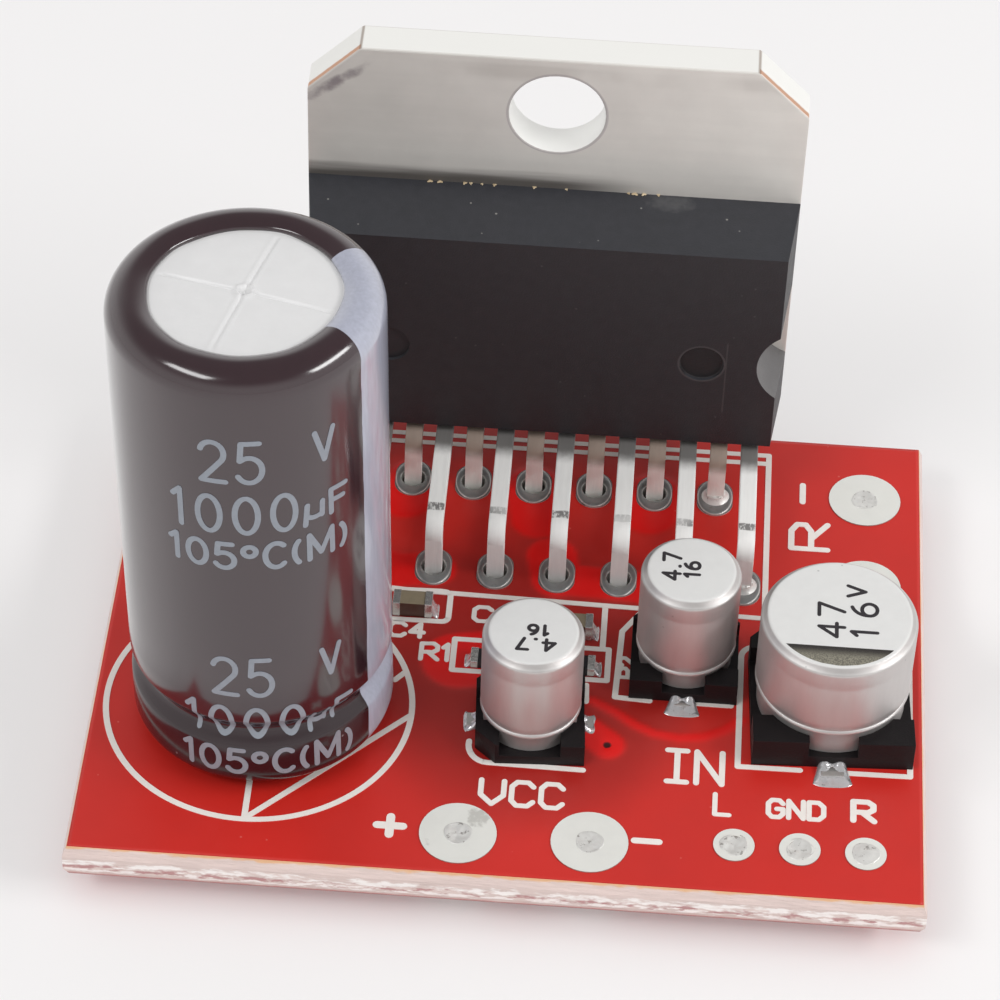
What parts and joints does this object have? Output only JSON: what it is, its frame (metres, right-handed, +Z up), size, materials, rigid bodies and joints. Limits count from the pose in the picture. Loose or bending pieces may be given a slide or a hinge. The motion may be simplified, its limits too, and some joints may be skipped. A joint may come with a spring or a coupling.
{
  "type": "audio amplifier board",
  "caption": "Stereo audio amplifier board: upright power package with a drilled heat tab, can capacitors and tinned wire pads on a small red circuit board.",
  "frame": {"origin": "middle of the outline seen from above, at the ends of the trimmed leads on which the board rests", "axes": "+X to the right along the long edge, +Y to the back towards the tab, +Z up"},
  "size_m": [0.0332, 0.0262, 0.0245],
  "materials": {
    "board_mask": "red solder mask over pale glass-fibre laminate",
    "tinned_land": "dull tinned copper",
    "lead_land": "grey tinned copper",
    "moulded_body": "black moulded resin",
    "tab_metal": "plated copper, faintly brushed",
    "lead_metal": "bright tinned metal",
    "sleeve": "dark shrunk plastic with a pale stripe",
    "rubber_seal": "black rubber",
    "can_metal": "satin aluminium",
    "seat_plastic": "black moulded plastic",
    "chip_plating": "tinned",
    "ceramic_body": "brown fired ceramic",
    "resistor_body": "black glazed ceramic",
    "solder": "bright solder"
  },
  "bodies": {
    "root": {"circuit_board": "board_mask", "lead_eyelets": "lead_land", "main_cap_eyelets": "tinned_land", "power_pad_plus": "tinned_land", "power_pad_minus": "tinned_land", "input_pad_left": "tinned_land", "input_pad_ground": "tinned_land", "input_pad_right": "tinned_land", "speaker_pad_right_minus": "tinned_land", "speaker_pad_right_plus": "tinned_land", "speaker_pad_left_minus": "tinned_land", "speaker_pad_left_plus": "tinned_land", "package_body": "moulded_body", "heat_tab": "tab_metal", "lead_01": "lead_metal", "lead_02": "lead_metal", "lead_03": "lead_metal", "lead_04": "lead_metal", "lead_05": "lead_metal", "lead_06": "lead_metal", "lead_07": "lead_metal", "lead_08": "lead_metal", "lead_09": "lead_metal", "lead_10": "lead_metal", "lead_11": "lead_metal", "lead_12": "lead_metal", "lead_13": "lead_metal", "lead_14": "lead_metal", "lead_15": "lead_metal", "main_cap_can": "can_metal", "main_cap_sleeve": "sleeve", "main_cap_bung": "rubber_seal", "main_cap_lead_plus": "lead_metal", "main_cap_lead_minus": "lead_metal", "front_can": "can_metal", "front_can_base": "seat_plastic", "front_can_terminal_plus": "lead_metal", "front_can_terminal_minus": "lead_metal", "middle_can": "can_metal", "middle_can_base": "seat_plastic", "middle_can_terminal_plus": "lead_metal", "middle_can_terminal_minus": "lead_metal", "right_can": "can_metal", "right_can_base": "seat_plastic", "right_can_terminal_plus": "lead_metal", "right_can_terminal_minus": "lead_metal", "left_ceramic": "ceramic_body", "left_ceramic_ends": "chip_plating", "right_ceramic": "ceramic_body", "right_ceramic_ends": "chip_plating", "left_resistor": "resistor_body", "left_resistor_ends": "chip_plating", "right_resistor": "resistor_body", "right_resistor_ends": "chip_plating", "underside_solder": "solder", "pad_solder": "solder", "terminal_solder": "solder", "chip_solder": "solder"}
  },
  "joints": []
}
